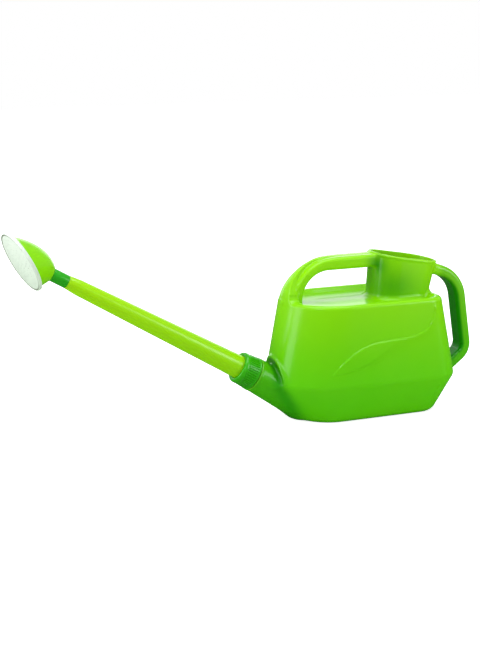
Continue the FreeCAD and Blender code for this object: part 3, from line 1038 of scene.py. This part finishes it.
@dataclass
class SpoutLine:
    """The spout's middle line, on which the turned pieces sit. Lengths are in mm from the outlet's shoulder."""

    origin: Vector
    axis: Vector
    segments: int = 112

    def place(self) -> Matrix:
        """The move that lays +Z along the spout's line, with +X up its upper side."""
        up = Vector((0, 0, 1))
        top = (up - self.axis * up.dot(self.axis)).normalized()
        side = self.axis.cross(top)
        turn = Matrix((top, side, self.axis)).transposed().to_4x4()
        return Matrix.Translation(self.origin) @ turn

    def lay(self, points: Array) -> Array:
        """Carry points in mm from the line's own frame into the can's frame, in metres."""
        move = np.array(self.place())
        return points @ move[:3, :3].T * MM + move[:3, 3]

    def turned(self, name: str, profile: list[tuple[float, float]], bend: float = 0.5) -> bpy.types.Object:
        """Turn a closed outline about the line, with every corner softened.

        Args:
            name: The piece's name.
            profile: Outline as (radius, length) points.
            bend: Size of the softened corners, in mm.

        Returns:
            The new piece.
        """
        outline = self._softened(profile, bend)
        rows = [circle(full_turn(self.segments), radius, length) for radius, length in outline]
        faces = self.ring_faces(len(outline), self.segments, True)
        piece = new_piece(name, self.lay(np.concatenate(rows)), faces)
        sharpen(piece)
        return piece

    @staticmethod
    def _softened(profile: list[tuple[float, float]], bend: float) -> list[tuple[float, float]]:
        """Replace each corner of a closed outline by a short curve."""
        made = []
        count = len(profile)
        for index in range(count):
            before, corner, after = (Vector(profile[(index + k) % count]) for k in (-1, 0, 1))
            into, out = before - corner, after - corner
            cut = min(bend, into.length * 0.4, out.length * 0.4)
            start, end = corner + into.normalized() * cut, corner + out.normalized() * cut
            for t in (0.0, 0.33, 0.67, 1.0):
                spot = start * (1 - t) ** 2 + corner * 2 * t * (1 - t) + end * t * t
                made.append((spot.x, spot.y))
        return made

    @staticmethod
    def ring_faces(rows: int, count: int, closed: bool) -> list[tuple[int, ...]]:
        """Faces between rings of points.

        Args:
            rows: How many rings.
            count: Points in each ring.
            closed: Whether the last ring joins the first.

        Returns:
            Four corners for each face.
        """
        faces = []
        for row in range(rows if closed else rows - 1):
            after = (row + 1) % rows
            for k in range(count):
                n = (k + 1) % count
                faces.append((row * count + k, row * count + n, after * count + n, after * count + k))
        return faces


def sharpen(piece: bpy.types.Object, angle: float = 40.0) -> None:
    """Face the mesh outwards and keep edges sharper than an angle crisp.

    Args:
        piece: The piece.
        angle: The angle in degrees.
    """
    work = bmesh.new()
    work.from_mesh(piece.data)
    bmesh.ops.recalc_face_normals(work, faces=work.faces)
    work.to_mesh(piece.data)
    work.free()
    piece.data.shade_smooth()
    piece.data.set_sharp_from_angle(angle=math.radians(angle))


@dataclass
class Spout:
    """The tapering tube, the union collar, the outlet's thread and the coupling at the tip."""

    line: SpoutLine
    spigot: float = 18.5
    washer: float = 2.5
    outlet_bore: float = 16.5
    thread_pitch: float = 4.0
    thread_root: float = 20.1
    thread_height: float = 1.4
    thread_foot: float = -0.8
    flange: float = 21.0
    flange_thick: float = 3.0
    tube_root: float = 18.0
    tube_tip: float = 11.8
    tube_length: float = 315.5
    tube_wall: float = 1.8
    nose_length: float = 20.0
    nose: float = 10.0
    collar_rear: float = 26.8
    collar_front: float = 24.4
    collar_wall: float = 5.0
    collar_gap: float = 1.0
    collar_bore: float = 22.0
    collar_ribs: int = 44
    points_per_rib: int = 14
    rib_depth: float = 1.1
    connector: float = 9.9
    connector_bore: float = 4.6
    connector_visible: float = 26.0
    plug: float = 22.0
    tip: float = 7.4
    tip_length: float = 11.0
    ring: float = 1.1
    ring_place: float = 5.5
    run_clearance: float = 0.08

    def build(self) -> list[bpy.types.Object]:
        """Make every piece of the spout.

        Returns:
            The new pieces.
        """
        return [self.make_thread(), self.make_tube(), self.make_collar(), self.make_connector()]

    def make_thread(self) -> bpy.types.Object:
        """The outlet's thread: a helical ridge on the moulding's spigot."""
        count, rows = self.line.segments, 90
        angles = full_turn(count)
        lengths = np.linspace(self.thread_foot, self.spigot, rows)
        outer = []
        for length in lengths:
            turn = np.mod(length / self.thread_pitch - angles / (2.0 * math.pi), 1.0)
            ridge = ease(1.6 - np.abs(turn - 0.5) * 4.4)
            fade = ease((length - 1.5) / 2.0) * ease((self.spigot - 0.8 - length) / 2.0)
            radius = self.thread_root + self.thread_height * ridge * fade
            outer.append(circle(angles, radius, length))
        inner = [circle(angles, self.outlet_bore, length) for length in (self.spigot, self.thread_foot)]
        points = self.line.lay(np.concatenate(outer + inner))
        piece = new_piece("outlet_thread", points, self.line.ring_faces(rows + 2, count, True))
        sharpen(piece)
        piece.data.materials.append(TANK_GREEN.make())
        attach(piece, "tank")
        return piece

    def make_tube(self) -> bpy.types.Object:
        """The long tapering tube with its flange and the short cone at its tip."""
        start = self.spigot + self.washer
        flange = start + self.flange_thick
        end = start + self.tube_length
        neck = end - self.nose_length
        profile = [(self.tube_root - self.tube_wall, start), (self.flange, start), (self.flange, flange)]
        profile += [(self.tube_root + 0.25, flange)]
        steps = 12
        for k in range(1, steps):
            share = k / steps
            radius = self.tube_root + (self.tube_tip - self.tube_root) * share
            profile.append((radius, flange + (neck - flange) * share))
        profile += [(self.tube_tip, neck), (self.nose, end), (self.nose - self.tube_wall, end)]
        profile += [(self.nose - self.tube_wall, end - self.plug)]
        profile += [(self.tube_tip - self.tube_wall, neck - self.plug)]
        piece = self.line.turned("spout_tube_shell", profile, 0.7)
        piece.data.materials.append(TUBE_LIME.make())
        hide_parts("spout_tube")
        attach(piece, "spout")
        return piece

    def make_collar(self) -> bpy.types.Object:
        """The union collar: a smooth front band, fine ribs and a thin rear border."""
        rear, seat = self.collar_gap, self.spigot + self.washer + self.flange_thick
        front = seat + self.collar_wall
        bore, eye = self.collar_bore, self.tube_root + 0.3
        count = self.collar_ribs * self.points_per_rib
        angles = full_turn(count)
        wave = 0.5 + 0.5 * np.cos(angles * self.collar_ribs)
        groove = ease((wave - 0.35) / 0.5)
        length = front - rear

        def cone(s: float) -> float:
            """The collar's plain outer radius at a length."""
            return self.collar_rear + (self.collar_front - self.collar_rear) * (s - rear) / length

        rows: list[tuple[float | Array, float]] = [
            (bore + 0.3, rear),
            (cone(rear) - 0.7, rear),
            (cone(rear) - 0.1, rear + 0.5),
            (cone(rear + 1.6), rear + 1.6),
            (cone(rear + 2.3) - 0.5, rear + 2.3),
        ]
        for s in np.linspace(rear + 3.0, front - 7.6, 18):
            fade = ease((s - rear - 2.6) / 1.2) * ease((front - 7.2 - s) / 1.2)
            rows.append((cone(s) - 0.35 - self.rib_depth * groove * fade, float(s)))
        rows += [
            (cone(front - 7.0) - 0.3, front - 7.0),
            (cone(front - 6.2) + 0.1, front - 6.2),
            (cone(front - 3.0) + 0.1, front - 3.0),
            (cone(front) - 0.5, front - 0.9),
            (cone(front) - 1.4, front - 0.15),
            (cone(front) - 2.4, front),
            (eye + 0.8, front),
            (eye, front - 0.8),
            (eye, seat),
            (bore, seat),
            (bore, rear + 0.4),
        ]
        points = self.line.lay(np.concatenate([circle(angles, radius, s) for radius, s in rows]))
        piece = new_piece("collar_shell", points, self.line.ring_faces(len(rows), count, True))
        sharpen(piece, 50.0)
        piece.data.materials.append(COLLAR_GREEN.make())
        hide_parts("collar_nut")
        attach(piece, "collar")
        return piece

    def make_connector(self) -> bpy.types.Object:
        """The short coupling with its plug, shoulder and grooved tip."""
        start = self.spigot + self.washer + self.tube_length
        shoulder = start + self.connector_visible
        plug = self.nose - self.tube_wall - self.run_clearance
        groove = shoulder + self.ring_place
        depth = self.tip + self.run_clearance - 2.0 * self.ring
        profile = [
            (self.connector_bore, start - self.plug + 0.3),
            (plug, start - self.plug + 0.3),
            (plug, start + 0.05),
            (self.connector, start + 0.05),
            (self.connector, shoulder),
            (self.tip, shoulder),
            (self.tip, groove - self.ring),
            (depth, groove - self.ring),
            (depth, groove + self.ring),
            (self.tip, groove + self.ring),
            (self.tip, shoulder + self.tip_length),
            (self.connector_bore, shoulder + self.tip_length),
        ]
        piece = self.line.turned("connector_shell", profile, 0.45)
        piece.data.materials.append(CONNECTOR_GREEN.make())
        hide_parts("rose_connector")
        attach(piece, "connector")
        return piece


@dataclass
class Rose:
    """The lopsided dome at the tip and its white perforated cap. Lengths are in mm on the spout's line."""

    line: SpoutLine
    neck_at: float
    tilt: float = 56.5
    twist: float = 9.0
    drop: float = 19.5
    rim: float = 44.2
    bead: float = 45.6
    bead_thick: float = 2.0
    wall: float = 1.8
    neck: float = 11.4
    bulge: float = 27.0
    socket: float = 7.48
    socket_wall: float = 1.6
    socket_length: float = 12.0
    cap: float = 47.6
    cap_depth: float = 4.3
    cap_wall: float = 1.6
    crown: float = 3.0
    border: float = 2.6
    groove: float = 1.0
    hole: float = 0.8
    rings: int = 5
    hole_pitch: float = 7.5
    filler_rings: int = 12

    def __post_init__(self) -> None:
        """Work out the rim's place and directions before the twist."""
        tilt = math.radians(self.tilt)
        self.up_face = np.array([math.cos(tilt), 0.0, math.sin(tilt)])
        self.out = np.array([-math.sin(tilt), 0.0, math.cos(tilt)])
        low = np.array([-self.neck, 0.0, self.neck_at])
        self.centre = low + self.out * self.drop + self.up_face * self.rim

    def twisted(self, points: Array) -> Array:
        """Turn points by the rose's twist and carry them into the can's frame."""
        turn = np.array(Matrix.Rotation(math.radians(self.twist), 3, "Z"))
        return self.line.lay(points @ turn.T)

    def on_rim(self, points: Array) -> Array:
        """Carry points from the rim's own frame, whose +Z looks out of the face."""
        level = self.centre + points[:, :1] * self.up_face + points[:, 1:2] * SIDEWAYS
        return self.twisted(level + points[:, 2:] * self.out)

    def section(self, share: float, inset: float, angles: Array) -> Array:
        """A ring round the dome.

        Args:
            share: 0 at the rim and 1 at the neck.
            inset: How far inside the outer skin.
            angles: Angles round the ring.

        Returns:
            Points of the ring.
        """
        rim_top = self.centre + self.up_face * self.rim
        rim_low = self.centre - self.up_face * self.rim
        neck_top = np.array([self.neck, 0.0, self.neck_at])
        neck_low = np.array([-self.neck, 0.0, self.neck_at])
        control = (rim_top + neck_top) * 0.5 - self.out * self.bulge
        rest = 1.0 - share
        top = rim_top * rest * rest + control * 2.0 * rest * share + neck_top * share * share
        low = rim_low * rest + neck_low * share
        across = top - low
        radius = np.linalg.norm(across) / 2.0 - inset
        up = across / np.linalg.norm(across)
        return (top + low) / 2.0 + radius * (np.cos(angles)[:, None] * up + np.sin(angles)[:, None] * SIDEWAYS)

    def build(self) -> list[bpy.types.Object]:
        """Make the dome and the cap.

        Returns:
            The new pieces.
        """
        return [self.make_dome(), self.make_cap()]

    def make_dome(self) -> bpy.types.Object:
        """The hollow dome with its rim bead and the socket for the coupling."""
        count = 120
        angles = full_turn(count)
        shares = np.linspace(0.02, 0.97, 26)
        ring = circle(angles, 1.0, 0.0)

        def rim_ring(radius: float, height: float) -> Array:
            """A ring in the rim's own frame."""
            flat = ring * radius
            return self.centre + flat[:, :1] * self.up_face + flat[:, 1:2] * SIDEWAYS + height * self.out

        def neck_ring(radius: float, length: float) -> Array:
            """A ring square to the spout's line."""
            return ring * radius + np.array([0.0, 0.0, length])

        rows = [
            rim_ring(self.rim - self.wall, 0.0),
            rim_ring(self.bead - 0.5, 0.0),
            rim_ring(self.bead, -0.5),
            rim_ring(self.bead, -self.bead_thick + 0.4),
            rim_ring(self.bead - 0.5, -self.bead_thick),
            rim_ring(self.rim + 0.2, -self.bead_thick - 0.2),
        ]
        rows += [self.section(s, 0.0, angles) for s in shares[1:]]
        plate = self.neck_at
        rows += [
            neck_ring(self.neck - 0.3, plate + 0.25),
            neck_ring(self.neck - 0.9, plate),
            neck_ring(self.socket + 0.5, plate),
            neck_ring(self.socket, plate + 0.5),
            neck_ring(self.socket, plate + self.socket_length),
            neck_ring(self.socket + self.socket_wall, plate + self.socket_length),
            neck_ring(self.socket + self.socket_wall, plate + self.wall),
        ]
        rows += [self.section(s, self.wall, angles) for s in shares[::-1][3:]]
        points = self.twisted(np.concatenate(rows))
        piece = new_piece("rose_dome", points, self.line.ring_faces(len(rows), count, True))
        sharpen(piece, 45.0)
        piece.data.materials.append(ROSE_LIME.make())
        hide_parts("rose_shell")
        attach(piece, "rose")
        return piece

    def hole_centres(self) -> list[tuple[float, float]]:
        """Where the cap's holes are: one in the middle and six more in each ring."""
        found = [(0.0, 0.0)]
        for number in range(1, self.rings + 1):
            for index in range(6 * number):
                angle = 2.0 * math.pi * index / (6 * number)
                radius = number * self.hole_pitch
                found.append((radius * math.cos(angle), radius * math.sin(angle)))
        return found

    def dome_height(self, radius: Array) -> Array:
        """Height of the cap's crowned face at a radius, over its edge."""
        inner = self.cap - self.border
        return self.crown * (1.0 - np.clip(radius / inner, 0.0, 1.0) ** 2)

    def drilled_disc(self, inner: float, rim_count: int) -> tuple[Array, list[tuple[int, ...]]]:
        """Cut a flat disc with the cap's holes into triangles.

        Args:
            inner: The disc's radius.
            rim_count: Points round its edge.

        Returns:
            Flat points, and the triangles between them.
        """
        flat: list[Vector] = []
        edges: list[tuple[int, int]] = []
        sides = 10

        def add_loop(cx: float, cy: float, radius: float, count: int) -> None:
            """Add a closed loop of points about a centre."""
            first = len(flat)
            for k in range(count):
                angle = 2.0 * math.pi * k / count
                flat.append(Vector((cx + radius * math.cos(angle), cy + radius * math.sin(angle))))
                edges.append((first + k, first + (k + 1) % count))

        for cx, cy in self.hole_centres():
            add_loop(cx, cy, self.hole, sides)
        add_loop(0.0, 0.0, inner, rim_count)
        centres = np.array(self.hole_centres())
        for number in range(self.filler_rings):
            radius = 1.9 + number * self.hole_pitch / 2.0
            around = max(6, int(radius * 1.7))
            for k in range(around):
                angle = 2.0 * math.pi * (k + 0.5) / around
                spot = np.array([radius * math.cos(angle), radius * math.sin(angle)])
                if np.min(np.linalg.norm(centres - spot, axis=1)) > self.hole + 0.5:
                    flat.append(Vector(spot))
        made, _, tris, _, _, _ = delaunay_2d_cdt(flat, edges, [], 1, 1e-5)
        spots = np.array([tuple(v) for v in made])
        kept = []
        for tri in tris:
            middle = spots[list(tri)].mean(0)
            if np.min(np.linalg.norm(centres - middle, axis=1)) > self.hole * 0.8:
                kept.append(tuple(tri))
        return spots, kept

    def make_cap(self) -> bpy.types.Object:
        """The white cap: a crowned, drilled face inside a raised border, and a skirt over the bead."""
        under, sunk, rim_count = 0.3, 0.2, 120
        over = under + self.cap_wall
        inner = self.cap - self.border
        spots, kept = self.drilled_disc(inner, rim_count)
        height = self.dome_height(np.linalg.norm(spots, axis=1))
        face = np.column_stack([spots, over + height - sunk])
        back = np.column_stack([spots, under + height - sunk * 0.5])
        count = len(spots)
        angles = 2.0 * math.pi * np.arange(rim_count) / rim_count
        border = [
            (inner, over - sunk),
            (inner + 0.12, over - self.groove),
            (inner + 0.5, over - self.groove),
            (inner + 0.7, over - 0.2),
            (inner + 1.0, over + 0.3),
            (inner + 1.5, over + 0.45),
            (self.cap - 0.5, over + 0.2),
            (self.cap - 0.1, over - 0.3),
            (self.cap, over - 0.9),
            (self.cap, over - self.cap_depth + 0.5),
            (self.cap - 0.5, over - self.cap_depth),
            (self.cap - self.cap_wall, over - self.cap_depth),
            (self.cap - self.cap_wall, under),
            (inner, under),
        ]
        rows = [circle(angles, radius, z) for radius, z in border]
        points = np.concatenate([face, back] + rows)
        faces = kept + [tuple(c + count for c in t[::-1]) for t in kept]
        for a, b in self._open_edges(kept):
            faces.append((a, b, b + count, a + count))
        offset = 2 * count
        faces += [tuple(c + offset for c in f) for f in self.line.ring_faces(len(border), rim_count, False)]
        piece = new_piece("rose_cap_face", self.on_rim(points), faces)
        # Painted shade in the groove just inside the cap's raised border.
        away = np.abs(np.linalg.norm(points[:, :2], axis=1) - inner - 0.3)
        shade = ease(1.0 - (away - 0.3) / 0.5) * (points[:, 2] > over - self.groove - 0.1)
        groove_shade = piece.data.attributes.new(SHADE_MASK, "FLOAT", "POINT")
        groove_shade.data.foreach_set("value", shade.astype(np.float32))
        self._weld(piece)
        piece.data.materials.append(CAP_WHITE.make())
        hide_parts("rose_cap")
        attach(piece, "cap")
        return piece

    @staticmethod
    def _open_edges(tris: list[tuple[int, ...]]) -> list[tuple[int, int]]:
        """Edges that only one triangle uses, in that triangle's order."""
        seen: dict[tuple[int, int], tuple[int, int]] = {}
        for tri in tris:
            for k in range(len(tri)):
                a, b = tri[k], tri[(k + 1) % len(tri)]
                key = (min(a, b), max(a, b))
                if key in seen:
                    del seen[key]
                else:
                    seen[key] = (a, b)
        return list(seen.values())

    @staticmethod
    def _weld(piece: bpy.types.Object) -> None:
        """Join points that lie together and keep crisp edges crisp."""
        work = bmesh.new()
        work.from_mesh(piece.data)
        bmesh.ops.remove_doubles(work, verts=work.verts, dist=0.00002)
        work.to_mesh(piece.data)
        work.free()
        sharpen(piece, 38.0)


# ---------------------------------------------------------------- carried-over pieces, stage, lights, camera


@dataclass
class Seals:
    """The rubber washer and ring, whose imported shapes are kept."""

    nodes: tuple[str, ...] = ("outlet_washer", "connector_o_ring")

    def dress(self) -> None:
        """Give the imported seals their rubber."""
        rubber = SEAL_RUBBER.make()
        for name in self.nodes:
            mesh = frame["nodes"][name].data
            mesh.materials.clear()
            mesh.materials.append(rubber)


@dataclass
class Studio:
    """A plain pale floor, soft panels of light and the camera."""

    floor_half: float = 6.0

    def build(self) -> None:
        """Set up the stage."""
        self.make_floor()
        self.make_world()
        self.make_lights()
        self.make_camera()

    def make_floor(self) -> None:
        """A pale floor, which looks brighter than the light it sends back up to the can."""
        half = self.floor_half
        corners = np.array([(-half, -half, 0), (half, -half, 0), (half, half, 0), (-half, half, 0)], float)
        floor = new_piece("studio_floor", corners - np.array([0, 0, 0.0002]), [(0, 1, 2, 3)])
        material = bpy.data.materials.new("studio_floor")
        material.use_nodes = True
        tree = material.node_tree
        add = tree.nodes.new
        pale = tree.nodes["Principled BSDF"]
        white = (1.0, 1.0, 1.0)
        set_inputs(pale, {"Base Color": (0.9, 0.9, 0.9), "Roughness": 0.9, "Specular IOR Level": 0.0})
        set_inputs(pale, {"Emission Color": white, "Emission Strength": 0.72})
        bounced, mirrored = add("ShaderNodeBsdfDiffuse"), add("ShaderNodeBsdfDiffuse")
        set_inputs(bounced, {"Color": (0.66, 0.72, 0.6)})
        set_inputs(mirrored, {"Color": (0.08, 0.12, 0.06)})
        path, unseen, mix = add("ShaderNodeLightPath"), add("ShaderNodeMixShader"), add("ShaderNodeMixShader")
        wire(
            tree,
            (path, "Is Glossy Ray", unseen, 0),
            (bounced, 0, unseen, 1),
            (mirrored, 0, unseen, 2),
            (path, "Is Camera Ray", mix, 0),
            (unseen, 0, mix, 1),
            (pale, 0, mix, 2),
            (mix, 0, tree.nodes["Material Output"], "Surface"),
        )
        floor.data.materials.append(material)

    def make_world(self) -> None:
        """A white backdrop that lights the can more softly than it looks."""
        world = bpy.data.worlds.new("studio")
        bpy.context.scene.world = world
        world.use_nodes = True
        tree = world.node_tree
        tree.nodes.clear()
        add = tree.nodes.new
        seen, lit, path = add("ShaderNodeBackground"), add("ShaderNodeBackground"), add("ShaderNodeLightPath")
        mix, out = add("ShaderNodeMixShader"), add("ShaderNodeOutputWorld")
        for backdrop, strength in ((seen, 1.0), (lit, 0.36)):
            set_inputs(backdrop, {"Color": (1.0, 1.0, 1.0), "Strength": strength})
        wire(
            tree,
            (path, "Is Camera Ray", mix, 0),
            (lit, 0, mix, 1),
            (seen, 0, mix, 2),
            (mix, 0, out, 0),
        )

    @staticmethod
    def panel(name: str, place: Vector, aim: Vector, width: float, height: float, power: float) -> None:
        """A soft rectangular light.

        Args:
            name: The light's name.
            place: Where it hangs.
            aim: The point that it faces.
            width: Its width in metres.
            height: Its height in metres.
            power: Its power in watts.
        """
        data = bpy.data.lights.new(name, "AREA")
        data.shape = "RECTANGLE"
        data.size, data.size_y = width, height
        data.energy = power
        light = bpy.data.objects.new(name, data)
        light.location = place
        light.rotation_euler = (aim - place).to_track_quat("-Z", "Y").to_euler()
        bpy.context.scene.collection.objects.link(light)

    def make_lights(self) -> None:
        """Panels overhead, beyond the nose, behind the can and beside the camera, and one small bright key."""
        aim = Vector((-0.08, 0.0, 0.12))
        self.panel("top_panel", Vector((-0.1, -0.2, 1.7)), aim, 1.6, 1.2, 22.5)
        self.panel("nose_panel", Vector((-1.8, 0.1, 0.6)), aim, 1.1, 1.3, 20.0)
        self.panel("side_panel", Vector((1.3, -1.4, 0.55)), aim, 0.8, 1.2, 17.5)
        self.panel("key_panel", Vector((-1.3, -1.5, 1.3)), aim, 0.35, 0.35, 6.5)
        self.panel("back_panel", Vector((0.3, 1.9, 0.6)), aim, 2.6, 1.2, 14.0)

    @staticmethod
    def make_camera() -> None:
        """The camera, a little to the nose's side and looking slightly down."""
        data = bpy.data.cameras.new("camera")
        data.lens, data.sensor_width = 76.95, 36.0
        camera = bpy.data.objects.new("camera", data)
        aim = Vector((-0.204, 0.0, 0.1532))
        around, above, far = math.radians(22.5), math.radians(13.5), 2.142
        level = math.cos(above)
        back = Vector((-math.sin(around) * level, -math.cos(around) * level, math.sin(above)))
        camera.location = aim + back * far
        camera.rotation_mode = "QUATERNION"
        camera.rotation_quaternion = (-back).to_track_quat("-Z", "Y")
        bpy.context.scene.collection.objects.link(camera)
        bpy.context.scene.camera = camera


def main() -> None:
    """Build the can and its stage, and log the points and faces of each new piece."""
    logging.basicConfig(level=logging.INFO, format="%(message)s")
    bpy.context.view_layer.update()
    settings = bpy.context.scene.view_settings
    settings.view_transform = "Standard"
    can = CanMoulding()
    made = [can.build()]
    line = SpoutLine(Vector(can.outlet * MM), Vector(can.axis))
    spout = Spout(line)
    made += spout.build()
    neck_at = spout.spigot + spout.washer + spout.tube_length + spout.connector_visible + 0.3
    made += Rose(line, neck_at).build()
    Seals().dress()
    Studio().build()
    for piece in made:
        LOG.info("%s: %d points, %d faces", piece.name, len(piece.data.vertices), len(piece.data.polygons))


if __name__ == "__main__":
    main()
